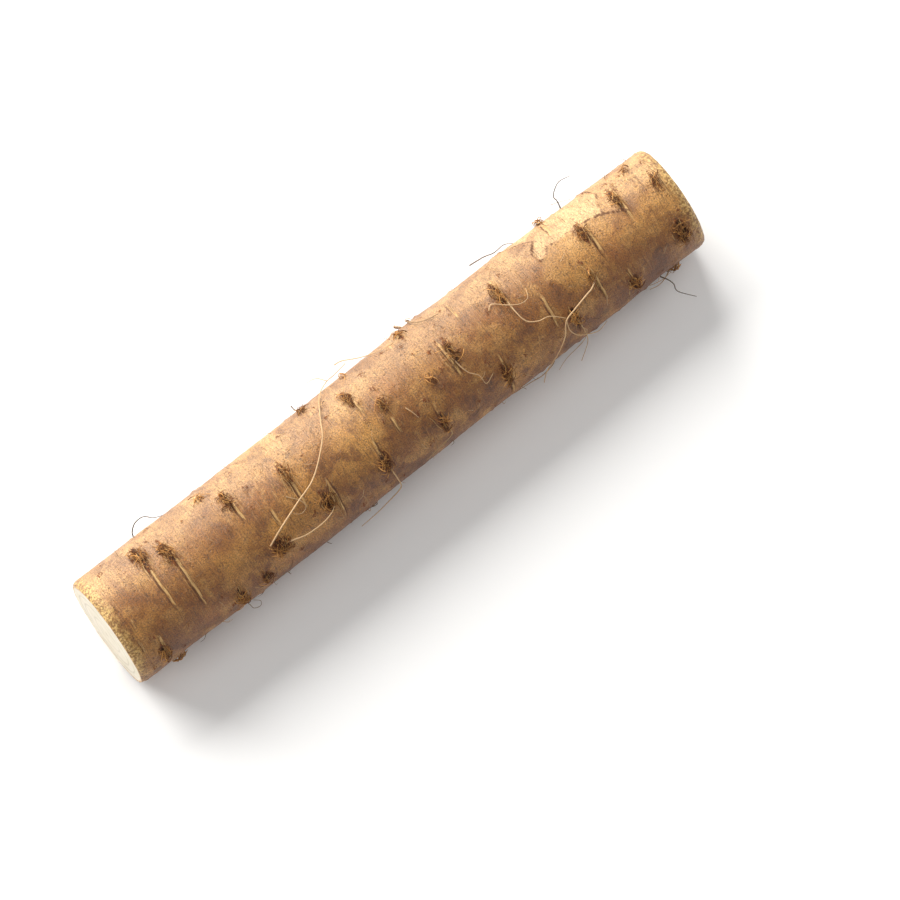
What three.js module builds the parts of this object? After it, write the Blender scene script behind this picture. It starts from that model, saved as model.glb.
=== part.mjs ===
// A cut length of burdock root lying on its side, grown as one solid piece.
// Millimetres, +Z up. The thick cut is at -X and the thin cut at +X.
import * as THREE from "three";
import { mergeVertices } from "three/addons/utils/BufferGeometryUtils.js";

// Driving dimensions
const LENGTH = 180; // between the middles of the two cuts
const THICK_RADIUS = 15;
const THIN_RADIUS = 14.2;
const TAPER_START = 0.62; // share of the length past which the root narrows
const SWAY = 0.3; // how far the middle line wanders to each side
const REST_DEPTH = 0.35; // flattening of the underside where the root rests
const THICK_CUT_SLANT = 2.5; // degrees the thick cut is off square
const THIN_CUT_SLANT = 3.4; // degrees the thin cut is off square
const RIM_LENGTH = 1.6; // the skin draws in over this length towards a cut
const RIM_DRAW_IN = 0.5; // how far it draws in at the cut itself

// Mesh fineness
const SIDES = 54;
const STATIONS = 74;

// Broad swellings of the skin: height, waves along the root, waves around it, phase in radians
const SWELLINGS = [
  [0.1, 2.3, 1, 0.4],
  [0.08, 3.6, 2, 1.9],
  [0.06, 6.1, 3, 4.2],
];

// Scars where side roots broke off: place along the root from the thick cut,
// degrees around it from the top towards -Y, and height of the scar.
const SCARS = [
  [8, 65, 0.4],
  [16, -28, 0.45],
  [22, -15, 0.45],
  [31.5, 75, 0.45],
  [41.5, -20, 0.4],
  [46.5, 50, 0.6],
  [57, -5, 0.45],
  [62, 42, 0.55],
  [71, -58, 0.35],
  [79.5, 47, 0.5],
  [81, -26, 0.4],
  [87, 1, 0.35],
  [97.5, 54, 0.45],
  [101.5, -53, 0.35],
  [108.5, 3, 0.5],
  [117.5, 56, 0.45],
  [126.5, -15, 0.5],
  [140, 52, 0.4],
  [147.5, -69, 0.35],
  [153, -12, 0.45],
  [158, 65, 0.45],
  [165, -19, 0.4],
  [174.5, 50, 0.4],
];
const SCAR_SPREAD = 1.9; // how wide a scar's mound is

// Ring ridges: place along the root, and the degrees around it where each starts and ends
const RIDGES = [
  [8.5, 35, 81],
  [16, -56, 47],
  [23, -40, 66],
  [31.5, 43, 103],
  [42.5, -37, 18],
  [49, 8, 37],
  [57, -30, 42],
  [64.5, 14, 81],
  [79.5, 12, 70],
  [87, 12, 37],
  [97.5, 24, 70],
  [107, -23, 35],
  [115, -52, -12],
  [118, 21, 103],
  [127, -40, 13],
  [135, 6, 54],
  [147, -69, -29],
  [149.5, 15, 63],
  [154.5, -24, 28],
  [165.5, -47, 16],
];
const RIDGE_HEIGHT = 0.22;
const RIDGE_SPREAD = 1.1;
const RIDGE_FADE = 9; // degrees over which a ridge runs out at each end

// The underside and the back carry their scars on a golden-ratio spread, each with a ridge.
const BACK_SCARS = 14;
const BACK_FIRST = 12; // along the root
const BACK_STEP = 12.2; // along the root
const BACK_FROM = 112; // degrees around
const BACK_SWEEP = 150; // degrees around
const BACK_SCAR_HEIGHT = 0.4;
const BACK_RIDGE_REACH = 26; // degrees each way from the scar
const GOLDEN = 0.618034;

const radians = THREE.MathUtils.degToRad;
const ramp = THREE.MathUtils.smoothstep;

function addBackScars() {
  for (let i = 0; i < BACK_SCARS; i += 1) {
    const along = BACK_FIRST + i * BACK_STEP;
    const around = BACK_FROM + ((i * GOLDEN) % 1) * BACK_SWEEP;
    SCARS.push([along, around, BACK_SCAR_HEIGHT]);
    RIDGES.push([along, around - BACK_RIDGE_REACH, around + BACK_RIDGE_REACH]);
  }
}

// Degrees from one direction to another, between -180 and 180.
function turn(from, to) {
  return THREE.MathUtils.euclideanModulo(to - from + 180, 360) - 180;
}

function bell(distance, spread) {
  return Math.exp(-0.5 * (distance / spread) ** 2);
}

function meanRadius(along) {
  const narrowed = ramp(along / LENGTH, TAPER_START, 1);
  const fromCut = Math.min(along, LENGTH - along);
  const drawnIn = (1 - Math.min(fromCut / RIM_LENGTH, 1)) ** 2;
  return THREE.MathUtils.lerp(THICK_RADIUS, THIN_RADIUS, narrowed) - RIM_DRAW_IN * drawnIn;
}

// Height of the skin over the mean radius; around is in degrees.
function relief(along, around) {
  let height = 0;
  for (const [rise, waves, lobes, phase] of SWELLINGS) {
    const wave = (2 * Math.PI * waves * along) / LENGTH;
    height += rise * Math.sin(wave + phase) * Math.cos(lobes * radians(around) + phase);
  }
  for (const [place, direction, rise] of SCARS) {
    const arc = radians(turn(direction, around)) * THICK_RADIUS;
    height += rise * bell(Math.hypot(along - place, arc), SCAR_SPREAD);
  }
  for (const [place, from, to] of RIDGES) {
    const middle = (from + to) / 2;
    const past = Math.abs(turn(middle, around)) - (to - from) / 2;
    const running = 1 - ramp(past, -RIDGE_FADE, RIDGE_FADE);
    height += RIDGE_HEIGHT * running * bell(along - place, RIDGE_SPREAD);
  }
  return height * ramp(Math.min(along, LENGTH - along), 0, 2 * RIM_LENGTH);
}

// Where a point of the root lies: share is 0 on the middle line and 1 on the skin.
function placeOf(along, around, share) {
  const radius = share * (meanRadius(along) + relief(along, around));
  const middleHeight = meanRadius(along) - REST_DEPTH;
  const slant = THREE.MathUtils.lerp(THICK_CUT_SLANT, THIN_CUT_SLANT, along / LENGTH);
  const sway = -SWAY * Math.sin((2 * Math.PI * along) / LENGTH);
  const y = sway - radius * Math.sin(radians(around));
  const z = Math.max(middleHeight + radius * Math.cos(radians(around)), 0);
  return new THREE.Vector3(along + Math.tan(radians(slant)) * y, y, z);
}

// Half of the outline that is spun into the root: across is the share of the radius.
function outline() {
  const points = [new THREE.Vector2(0, 0), new THREE.Vector2(0.5, 0)];
  const rim = [0, RIM_LENGTH / 3, RIM_LENGTH];
  const inner = LENGTH - 2 * RIM_LENGTH;
  for (const along of rim) {
    points.push(new THREE.Vector2(1, along));
  }
  for (let i = 1; i < STATIONS; i += 1) {
    points.push(new THREE.Vector2(1, RIM_LENGTH + (inner * i) / STATIONS));
  }
  for (const along of rim.reverse()) {
    points.push(new THREE.Vector2(1, LENGTH - along));
  }
  points.push(new THREE.Vector2(0.5, LENGTH), new THREE.Vector2(0, LENGTH));
  return points;
}

// Keeps one vertex where several meet, and drops the faces that close up on the middle line.
function welded(spun) {
  spun.deleteAttribute("normal");
  spun.deleteAttribute("uv");
  const merged = mergeVertices(spun);
  const kept = [];
  const corners = merged.index.array;
  for (let i = 0; i < corners.length; i += 3) {
    const [a, b, c] = corners.slice(i, i + 3);
    if (a !== b && b !== c && c !== a) {
      kept.push(a, b, c);
    }
  }
  merged.setIndex(kept);
  return merged;
}

function rootGeometry() {
  const geometry = welded(new THREE.LatheGeometry(outline(), SIDES));
  const spots = geometry.getAttribute("position");
  const spot = new THREE.Vector3();
  for (let i = 0; i < spots.count; i += 1) {
    spot.fromBufferAttribute(spots, i);
    const share = Math.hypot(spot.x, spot.z);
    const around = THREE.MathUtils.radToDeg(Math.atan2(-spot.z, spot.x));
    const place = placeOf(spot.y, around, share);
    spots.setXYZ(i, place.x, place.y, place.z);
  }
  geometry.computeBoundingBox();
  const middle = geometry.boundingBox.getCenter(new THREE.Vector3());
  geometry.translate(-middle.x, -middle.y, -geometry.boundingBox.min.z);
  geometry.computeVertexNormals();
  return geometry;
}

addBackScars();

const skin = new THREE.MeshStandardMaterial({ color: "#a9794a", roughness: 0.75, metalness: 0 });
const burdockRoot = new THREE.Mesh(rootGeometry(), skin);
burdockRoot.name = "burdock_root";

const part = new THREE.Group();
part.add(burdockRoot);

export default part;
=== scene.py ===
"""Looks of a cut length of burdock root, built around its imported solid.

The root lies along X with its thick cut at -X. A place on its skin is given by how far it is along
the root from the thick cut, in millimetres, and by its direction around the root, in degrees from
straight up towards -Y. Finished meshes are in metres.
"""
import math
import random

import bpy
import numpy as np
from mathutils import Matrix, Vector, noise


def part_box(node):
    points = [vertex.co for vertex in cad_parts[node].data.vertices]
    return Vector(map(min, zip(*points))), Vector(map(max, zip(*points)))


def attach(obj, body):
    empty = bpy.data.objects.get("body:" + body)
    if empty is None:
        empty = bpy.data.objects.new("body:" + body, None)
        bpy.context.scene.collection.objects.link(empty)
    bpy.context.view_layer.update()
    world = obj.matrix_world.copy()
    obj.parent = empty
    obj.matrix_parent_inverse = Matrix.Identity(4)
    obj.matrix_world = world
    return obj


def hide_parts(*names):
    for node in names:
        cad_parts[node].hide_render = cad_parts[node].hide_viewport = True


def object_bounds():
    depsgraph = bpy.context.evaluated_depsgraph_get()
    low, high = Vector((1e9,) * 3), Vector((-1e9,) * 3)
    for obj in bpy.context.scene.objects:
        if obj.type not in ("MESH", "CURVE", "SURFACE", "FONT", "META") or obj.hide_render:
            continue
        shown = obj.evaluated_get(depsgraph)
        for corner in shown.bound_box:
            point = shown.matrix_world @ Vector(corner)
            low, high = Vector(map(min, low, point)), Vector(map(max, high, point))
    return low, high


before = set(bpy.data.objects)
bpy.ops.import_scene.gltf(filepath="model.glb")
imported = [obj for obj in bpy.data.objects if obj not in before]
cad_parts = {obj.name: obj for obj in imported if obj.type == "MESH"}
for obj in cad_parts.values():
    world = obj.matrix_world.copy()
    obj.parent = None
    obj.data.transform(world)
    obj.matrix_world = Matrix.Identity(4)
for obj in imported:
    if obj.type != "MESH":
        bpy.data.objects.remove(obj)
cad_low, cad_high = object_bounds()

MM = 0.001
BODY = "root"
ROOT_NODE = "burdock_root"

# ---------------------------------------------------------------- the root's shape, millimetres

LENGTH = 180.0
THICK_RADIUS = 15.0
THIN_RADIUS = 14.2
TAPER_START = 0.62  # share of the length past which the root narrows
SWAY = 0.3  # how far the middle line wanders to each side
REST_DEPTH = 0.35  # flattening of the underside
THICK_CUT_SLANT = 2.5  # degrees off square
THIN_CUT_SLANT = 3.4
RIM_LENGTH = 1.6  # the skin draws in over this length towards a cut
RIM_DRAW_IN = 0.5

# Broad swellings: height, waves along the root, waves around it, phase
SWELLINGS = [(0.1, 2.3, 1, 0.4), (0.08, 3.6, 2, 1.9), (0.06, 6.1, 3, 4.2)]

# Fineness of the skin's mesh
STATIONS = 640
SIDES = 144
CAP_RINGS = 13

# Scars of broken side roots: along, around, reach along, reach around, how dark
SCARS = [
    (8, 67, 1.5, 2.5, 1.0),
    (16, -28, 1.9, 3.1, 0.95),
    (22, -15, 1.8, 2.8, 1.0),
    (31.5, 70, 1.6, 2.6, 1.0),
    (37, -43, 0.9, 1.4, 0.45),
    (39.5, 71, 1.3, 1.7, 0.85),
    (41.5, -20, 1.5, 2.6, 0.85),
    (46.5, 50, 3.1, 2.2, 1.0),
    (57, -5, 1.4, 2.5, 0.85),
    (62, 42, 2.0, 2.6, 1.0),
    (71, -58, 1.3, 1.5, 0.65),
    (79.5, 47, 2.0, 2.6, 0.95),
    (81, -26, 1.6, 2.3, 0.85),
    (84, -60, 0.8, 0.9, 0.4),
    (87, 1, 1.5, 1.5, 0.75),
    (97.5, 54, 1.2, 2.8, 0.95),
    (100.5, 11, 1.0, 1.2, 0.5),
    (101.5, -53, 1.2, 2.2, 0.7),
    (108.5, 3, 1.5, 2.8, 0.9),
    (117.5, 56, 1.5, 2.9, 0.95),
    (126.5, -15, 1.6, 2.6, 1.0),
    (140, 52, 1.3, 2.2, 0.9),
    (147.5, -69, 1.2, 2.0, 0.7),
    (148.7, 27, 0.9, 1.6, 0.7),
    (153, -12, 1.4, 2.3, 0.9),
    (158, 65, 1.7, 2.2, 1.0),
    (165, -20, 1.0, 3.2, 0.85),
    (172, -45, 0.8, 1.0, 0.5),
    (176, -9, 1.1, 2.2, 0.7),
    (174.5, 50, 2.1, 3.2, 0.95),
]

# Ring ridges: along, where each starts and ends around the root, and how strong it is
RIDGES = [
    (4, 30, 60, 0.5),
    (8.6, 35, 84, 0.6),
    (16.2, -56, 47, 1.0),
    (22.8, -40, 66, 1.0),
    (31.5, 43, 103, 0.7),
    (36.5, -60, -30, 0.6),
    (42.4, -37, 18, 0.9),
    (49.2, 8, 40, 0.8),
    (57, -30, 43, 1.0),
    (64.5, 14, 81, 0.9),
    (79.5, 12, 70, 0.9),
    (81.8, -26, 4, 0.6),
    (87, 12, 37, 0.8),
    (97.4, 24, 70, 0.9),
    (107.2, -23, 35, 1.0),
    (115.2, -52, -12, 0.6),
    (117.8, 21, 103, 0.9),
    (127.2, -40, 13, 1.0),
    (135, 6, 54, 1.0),
    (140.2, 40, 75, 0.6),
    (147.2, -69, -29, 0.8),
    (149.6, 14, 63, 0.9),
    (154.6, -24, 28, 1.0),
    (157.8, 40, 70, 0.7),
    (165.8, -47, 16, 1.0),
    (177.2, -34, 10, 0.7),
]

# The underside and the back carry their scars on a golden-ratio spread, each with a ridge.
BACK_SCARS = 14
BACK_FIRST = 12
BACK_STEP = 12.2
BACK_FROM = 112
BACK_SWEEP = 150
BACK_RIDGE_REACH = 26
GOLDEN = 0.618034

# Faint short rings all over the skin
FAINT_RINGS = 70
NUBS = 430

# Edge of the patch where the outer skin has flaked off: along, around
PEEL_EDGE = [
    (166, -2), (163.5, -8), (160.5, -15), (156.3, -20), (151.8, -22), (146.8, -21), (144, -24),
    (142.6, -17), (140.3, -15), (139.8, -27), (142.5, -42), (139, -55), (135, -68), (133, -85),
    (136, -95), (141.5, -99), (147, -108), (153, -101),
]
PEEL_FAR_EDGE = [(153, -101), (159, -88), (161.5, -60), (162.6, -42), (160.8, -26), (160.5, -15)]


# Relief of the skin: heights and widths
CREST_HEIGHT = 0.34
CREST_SPREAD = 0.23
SCAR_HEIGHT = 0.5
SCAR_SPREAD = 0.95
WAVE_HEIGHT = 0.16
WAVE_SIZE = 14


def ramp(value, low, high):
    share = np.clip((value - low) / (high - low), 0, 1)
    return share * share * (3 - 2 * share)


def bell(distance, spread):
    return np.exp(-0.5 * (distance / spread) ** 2)


def turn(start, end):
    """Degrees from one direction to another, from -180 to 180."""
    return (np.asarray(end, float) - start + 180) % 360 - 180


def mean_radius(along):
    narrowed = ramp(along / LENGTH, TAPER_START, 1)
    from_cut = np.minimum(along, LENGTH - along)
    drawn_in = (1 - np.clip(from_cut / RIM_LENGTH, 0, 1)) ** 2
    return THICK_RADIUS + (THIN_RADIUS - THICK_RADIUS) * narrowed - RIM_DRAW_IN * drawn_in


def unshifted_place(along, around, height, share):
    along = np.asarray(along, float)
    angle = np.radians(around)
    radius = share * (mean_radius(along) + height)
    slant = THICK_CUT_SLANT + (THIN_CUT_SLANT - THICK_CUT_SLANT) * along / LENGTH
    y = -SWAY * np.sin(2 * np.pi * along / LENGTH) - radius * np.sin(angle)
    z = mean_radius(along) - REST_DEPTH + radius * np.cos(angle)
    x = along + np.tan(np.radians(slant)) * y
    return np.stack(np.broadcast_arrays(x, y, np.maximum(z, 0)), -1) * MM


def swelling(along, around):
    height = 0
    for rise, waves, lobes, phase in SWELLINGS:
        wave = 2 * np.pi * waves * along / LENGTH
        height = height + rise * np.sin(wave + phase) * np.cos(lobes * np.radians(around) + phase)
    return height * ramp(np.minimum(along, LENGTH - along), 0, 2 * RIM_LENGTH)


def shift_to_solid():
    """What brings the root's own shape to where its solid lies."""
    along, around = np.meshgrid(np.linspace(0, LENGTH, 181), np.arange(0, 360, 4))
    points = unshifted_place(along, around, swelling(along, around), 1).reshape(-1, 3)
    middle = (points.min(0) + points.max(0)) / 2
    low, high = (np.array(corner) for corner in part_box(ROOT_NODE))
    target = (low + high) / 2
    return np.array([target[0] - middle[0], target[1] - middle[1], low[2]])


SHIFT = shift_to_solid()


def place(along, around, height=0.0, share=1.0):
    """Points in metres: height is over the mean skin, share runs from the middle line to the skin."""
    return unshifted_place(along, around, height, share) + SHIFT


def lumps(points, size, seed=0.0):
    """Smooth noise from -1 to 1 with lumps about size millimetres across, or a size for each axis."""
    scaled = points / (np.asarray(size) * MM) + seed
    values = [noise.noise(spot) for spot in scaled.reshape(-1, 3).tolist()]
    return np.array(values).reshape(points.shape[:-1])


def add_back_growth():
    for i in range(BACK_SCARS):
        along = BACK_FIRST + i * BACK_STEP
        around = BACK_FROM + (i * GOLDEN) % 1 * BACK_SWEEP
        long_way = 1.2 + 0.9 * ((i * GOLDEN * 2) % 1)
        SCARS.append((along, around, long_way, 2.5, 0.9))
        RIDGES.append((along + 0.6, around - BACK_RIDGE_REACH, around + BACK_RIDGE_REACH, 0.9))


def add_companion_ridges(dice):
    """A weaker ridge runs close beside each strong one."""
    for along, start, end, strength in list(RIDGES):
        if strength >= 0.8 and dice.random() < 0.6:
            side = dice.choice((-1, 1)) * dice.uniform(0.95, 1.35)
            first = start + dice.uniform(0, 0.4) * (end - start)
            last = end - dice.uniform(0, 0.4) * (end - start)
            RIDGES.append((along + side, first, last, 0.36 * strength))


def add_faint_rings(dice):
    for _ in range(FAINT_RINGS):
        along = dice.uniform(3, LENGTH - 3)
        start = dice.uniform(-180, 180)
        RIDGES.append((along, start, start + dice.uniform(9, 34), dice.uniform(0.16, 0.42)))


def ridge_line(ridge, around):
    """How far along the root a ridge is in each direction, with its small wander."""
    along, start, end, _ = ridge
    way = turn((start + end) / 2, around)
    return along + 0.14 * np.sin(0.08 * way + along) + 0.06 * np.sin(0.33 * way + 2 * along)


def ridge_running(ridge, around):
    """1 in the middle of a ridge's course, falling to 0 at both ends."""
    _, start, end, strength = ridge
    half = (end - start) / 2
    return strength * (1 - ramp(np.abs(turn((start + end) / 2, around)), 0.3 * half, half))


def scar_distance(scar, along, around):
    """Distance from a scar in its own reaches: plain, and drawn out into a ragged star."""
    scar_along, scar_around, reach_along, reach_around, _ = scar
    across = np.radians(turn(scar_around, around)) * THICK_RADIUS / reach_around
    up = (along - scar_along) / reach_along
    off = np.hypot(up, across)
    way = np.arctan2(up, across)
    points = np.sin(2.5 * way + scar_along) ** 4 + 0.6 * np.sin(4.5 * way + 2 * scar_along) ** 6
    tails = np.abs(np.cos(way)) ** 10
    return off, off / (0.85 + 0.2 * points + 0.7 * tails)


def distance_to(along, around, route):
    """Millimetres over the skin from each place to a route of places."""
    spots = np.stack([along, np.radians(around) * THICK_RADIUS], -1)
    corners = np.array([(a, math.radians(b) * THICK_RADIUS) for a, b in route])
    nearest = np.full(np.shape(along), 1e9)
    for first, last in zip(corners, corners[1:]):
        step = last - first
        share = np.clip(((spots - first) @ step) / (step @ step), 0, 1)
        nearest = np.minimum(nearest, np.linalg.norm(spots - first - share[..., None] * step, axis=-1))
    return nearest


def inside(along, around, outline):
    """Whether each place lies in a closed outline of places."""
    found = np.zeros(np.shape(along), bool)
    for (a0, b0), (a1, b1) in zip(outline, outline[1:] + outline[:1]):
        crosses = (b0 > around) != (b1 > around)
        meets = a0 + (around - b0) / (b1 - b0 + 1e-9) * (a1 - a0)
        found ^= crosses & (along < meets)
    return found


class Skin:
    """Heights and marks of the skin over a grid of places."""

    def __init__(self, along, around):
        self.along, self.around = along, around
        self.points = place(along, around)
        self.height = swelling(along, around)
        self.scar = np.zeros(along.shape)
        self.ridge = np.zeros(along.shape)
        self.crease_and_shade = np.zeros(along.shape)
        self.peel = np.zeros(along.shape)
        self.from_cut = np.minimum(along, LENGTH - along)
        self.add_waviness()
        self.add_peel()
        self.add_ridges()
        self.add_scars()
        self.add_nubs(random.Random(41))
        self.add_rough_rims()

    def add_waviness(self):
        self.height += WAVE_HEIGHT * lumps(self.points, WAVE_SIZE) + 0.07 * lumps(self.points, 4.5, 9.1)
        self.height += 0.05 * lumps(self.points, (1.5, 9, 9), 3.7)
        self.height += 0.035 * lumps(self.points, 1.1, 5.3)

    def add_scars(self):
        torn = lumps(self.points, 1.5, 7.7)
        rough = lumps(self.points, 0.75, 1.3)
        for scar in SCARS:
            dark = scar[4]
            off, starred = scar_distance(scar, self.along, self.around)
            starred = starred + 0.3 * torn * (starred > 0.25)
            mark = 1 - ramp(starred, 0.45, 1.15)
            rise = SCAR_HEIGHT * bell(off, SCAR_SPREAD) - 0.45 * bell(off, 0.4)
            self.height += dark * (rise + 0.95 * mark * rough)
            self.scar = np.maximum(self.scar, dark * mark)

    def add_ridges(self):
        for ridge in RIDGES:
            running = ridge_running(ridge, self.around)
            off = self.along - ridge_line(ridge, self.around)
            side = 1 if int(ridge[0] * 10) % 2 else -1
            crest = running * bell(off, CREST_SPREAD)
            # The cracks beside each ridge are sunk and also carry painted shade for the colour
            crack_and_shade = running * bell(off - side * 0.52, 0.19)
            far_crack_and_shade = running * bell(off + side * 0.56, 0.18) * 0.4
            self.height += CREST_HEIGHT * crest - 0.1 * crack_and_shade - 0.06 * far_crack_and_shade
            self.ridge = np.maximum(self.ridge, crest)
            self.crease_and_shade = np.maximum(self.crease_and_shade, np.maximum(crack_and_shade, far_crack_and_shade))

    def add_peel(self):
        ragged = 0.35 * lumps(self.points, 2.2, 4.4)
        around = turn(0, self.around)
        edge = distance_to(self.along, around, PEEL_EDGE) + ragged
        far_edge = distance_to(self.along, around, PEEL_FAR_EDGE) + ragged
        patch = inside(self.along, around, PEEL_EDGE[2:] + PEEL_FAR_EDGE)
        nearest = np.minimum(edge, far_edge)
        self.peel = np.where(patch, ramp(nearest, 0, 0.8), 0.0)
        self.height -= 0.13 * self.peel
        # The peel's edges carry painted shade for the colour
        self.crease_and_shade = np.maximum(self.crease_and_shade, 1.15 * bell(edge, 0.14))
        self.crease_and_shade = np.maximum(self.crease_and_shade, 0.8 * bell(far_edge, 0.14))
        self.height += 0.16 * bell(edge - 0.3, 0.25) * ~patch

    def add_nubs(self, dice):
        for _ in range(NUBS):
            along = dice.uniform(1, LENGTH - 1)
            around = dice.uniform(-180, 180)
            size = dice.uniform(0.3, 0.7)
            arc = np.radians(turn(around, self.around)) * THICK_RADIUS
            near = bell(np.hypot(self.along - along, arc), size)
            self.height += dice.uniform(0.08, 0.32) * near
            self.scar = np.maximum(self.scar, dice.uniform(0, 0.6) * near)

    def add_rough_rims(self):
        near = 1 - ramp(self.from_cut, 0.2, 4.5)
        chewed = lumps(self.points, 1.3, 2.9) + 0.6 * lumps(self.points, 0.7, 6.1)
        self.height += near * (0.2 * chewed - 0.06)


def new_mesh(name, points, faces):
    mesh = bpy.data.meshes.new(name)
    mesh.from_pydata([tuple(p) for p in points], [], faces)
    made = bpy.data.objects.new(name, mesh)
    bpy.context.scene.collection.objects.link(made)
    return made


def set_marks(mesh, **marks):
    for name, values in marks.items():
        layer = mesh.attributes.new(name, "FLOAT", "POINT")
        layer.data.foreach_set("value", np.asarray(values, np.float32).ravel())


def stations():
    """Places along the skin, closer together at the two rims."""
    inner = np.linspace(RIM_LENGTH, LENGTH - RIM_LENGTH, STATIONS - 7)
    rim = np.array([0, 0.25, 0.6, 1.05])
    return np.concatenate([rim, inner, LENGTH - rim[::-1]])


def body_arrays():
    """Points, marks and faces of the closed root."""
    along, around = np.meshgrid(stations(), np.arange(SIDES) * 360 / SIDES, indexing="ij")
    skin = Skin(along, around)
    points = [place(along, around, skin.height).reshape(-1, 3)]
    rings = len(along)
    marks = {
        "scar": [skin.scar.ravel()],
        "ridge": [skin.ridge.ravel()],
        "crease_and_shade": [skin.crease_and_shade.ravel()],
        "peel": [skin.peel.ravel()],
        "from_cut": [skin.from_cut.ravel()],
        "share": [np.ones(along.size)],
    }
    faces = []
    for i in range(rings - 1):
        for j in range(SIDES):
            k = (j + 1) % SIDES
            faces.append((i * SIDES + j, i * SIDES + k, (i + 1) * SIDES + k, (i + 1) * SIDES + j))
    skin_faces = len(faces)
    total = rings * SIDES
    for at_thin_end in (False, True):
        total = add_cap(points, marks, faces, skin, at_thin_end, total)
    joined = {name: np.concatenate(values) for name, values in marks.items()}
    return np.concatenate(points), joined, faces, skin_faces


def add_cap(points, marks, faces, skin, at_thin_end, total):
    """Closes one cut with rings of the flesh, which stands a hair proud of the ring lines."""
    row = len(skin.along) - 1 if at_thin_end else 0
    along = LENGTH if at_thin_end else 0.0
    outward = 1 if at_thin_end else -1
    around = skin.around[row]
    shares = np.linspace(1, 0, CAP_RINGS + 1)[1:-1]
    edge = [row * SIDES + j for j in range(SIDES)]
    for share in shares:
        ring = place(along, around, skin.height[row], share)
        wave = 0.05 * lumps(ring, 3.0, 8.8) + 0.04 * np.sin(share * 31)
        ring = ring + np.array([outward, 0, 0]) * wave[:, None] * MM
        points.append(ring)
        for name in ("scar", "ridge", "crease_and_shade", "peel", "from_cut"):
            marks[name].append(np.zeros(SIDES))
        marks["share"].append(np.full(SIDES, share))
        inner = [total + j for j in range(SIDES)]
        for j in range(SIDES):
            k = (j + 1) % SIDES
            quad = (edge[j], inner[j], inner[k], edge[k])
            faces.append(quad[::-1] if at_thin_end else quad)
        edge = inner
        total += SIDES
    points.append(place(along, 0.0, 0.0, 0.0).reshape(1, 3))
    for name, values in marks.items():
        values.append(np.zeros(1))
    for j in range(SIDES):
        k = (j + 1) % SIDES
        tip = (edge[j], total, edge[k])
        faces.append(tip[::-1] if at_thin_end else tip)
    return total + 1


SKIN_BAND = 0.52  # share of the map's height that the unrolled skin takes
DISC_REACH = 0.215  # radius of a cut face on the map


def add_map(mesh, skin_faces):
    """Lays the skin out as one band and the two cut faces as discs over it."""
    layer = mesh.uv_layers.new(name="OFBake")
    coordinates = np.zeros((len(mesh.loops), 2), np.float32)
    ring_count = len(stations())
    for face in mesh.polygons:
        for loop in face.loop_indices:
            vertex = mesh.loops[loop].vertex_index
            if face.index < skin_faces:
                row, side = divmod(vertex, SIDES)
                wraps = side == 0 and face.index % SIDES == SIDES - 1
                coordinates[loop] = (row / (ring_count - 1), (side + SIDES * wraps) / SIDES * SKIN_BAND)
            else:
                co = mesh.vertices[vertex].co
                centre = 0.25 if co.x < 0 else 0.75
                reach = DISC_REACH / (THICK_RADIUS * MM)
                height = co.z - (THICK_RADIUS - REST_DEPTH) * MM
                coordinates[loop] = (centre + co.y * reach, 0.77 + height * reach)
    layer.data.foreach_set("uv", coordinates.ravel())


def make_body(skin_material, flesh_material):
    points, marks, faces, skin_faces = body_arrays()
    body = new_mesh("root_body", points, faces)
    set_marks(body.data, **marks)
    add_map(body.data, skin_faces)
    body.data.materials.append(skin_material)
    body.data.materials.append(flesh_material)
    which = np.zeros(len(body.data.polygons), np.int32)
    which[skin_faces:] = 1
    body.data.polygons.foreach_set("material_index", which)
    body.data.shade_smooth()
    mark_rims_sharp(body.data)
    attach(body, BODY)
    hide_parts(ROOT_NODE)
    return body


def mark_rims_sharp(mesh):
    """The cut edge between skin and flesh is crisp."""
    last = (len(stations()) - 1) * SIDES
    sharp = mesh.attributes.new("sharp_edge", "BOOLEAN", "EDGE")
    ends = np.zeros(len(mesh.edges) * 2, np.int32)
    mesh.edges.foreach_get("vertices", ends)
    ends = ends.reshape(-1, 2)
    on_thick = (ends < SIDES).all(1)
    on_thin = ((ends >= last) & (ends < last + SIDES)).all(1)
    sharp.data.foreach_set("value", on_thick | on_thin)


# ---------------------------------------------------------------- shader helpers


def colour(code):
    """A linear colour from its hex code."""
    parts = [int(code[i:i + 2], 16) / 255 for i in (1, 3, 5)]
    linear = [p / 12.92 if p <= 0.04045 else ((p + 0.055) / 1.055) ** 2.4 for p in parts]
    return (*linear, 1.0)


def add(tree, kind, inputs=None, **settings):
    """Adds a node; an input is a value or the output that feeds it."""
    made = tree.nodes.new(kind)
    for name, value in settings.items():
        setattr(made, name, value)
    for name, value in (inputs or {}).items():
        if isinstance(value, bpy.types.NodeSocket):
            tree.links.new(value, made.inputs[name])
        else:
            made.inputs[name].default_value = value
    return made


def maths(tree, operation, first, second=0.0, clamp=False):
    made = add(tree, "ShaderNodeMath", {0: first, 1: second}, operation=operation, use_clamp=clamp)
    return made.outputs[0]


def times(tree, first, second):
    return maths(tree, "MULTIPLY", first, second)


def mixed(tree, share, first, second, blend="MIX"):
    """Two colours mixed by a share."""
    made = add(tree, "ShaderNodeMix", {0: share, 6: first, 7: second}, data_type="RGBA", blend_type=blend)
    return made.outputs[2]


def spread(tree, value, low, high, to_low=0.0, to_high=1.0, smooth=True):
    """Brings a value from one range to another, clamped."""
    kind = "SMOOTHSTEP" if smooth else "LINEAR"
    inputs = {"Value": value, "From Min": low, "From Max": high, "To Min": to_low, "To Max": to_high}
    return add(tree, "ShaderNodeMapRange", inputs, interpolation_type=kind).outputs[0]


def washed(tree, base, value, low, high, share, code):
    """The base with up to a share of another colour, where a value runs from low to high."""
    return mixed(tree, spread(tree, value, low, high, 0.0, share), base, colour(code))


def mark(tree, name):
    return add(tree, "ShaderNodeAttribute", attribute_name=name).outputs["Fac"]


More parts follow.
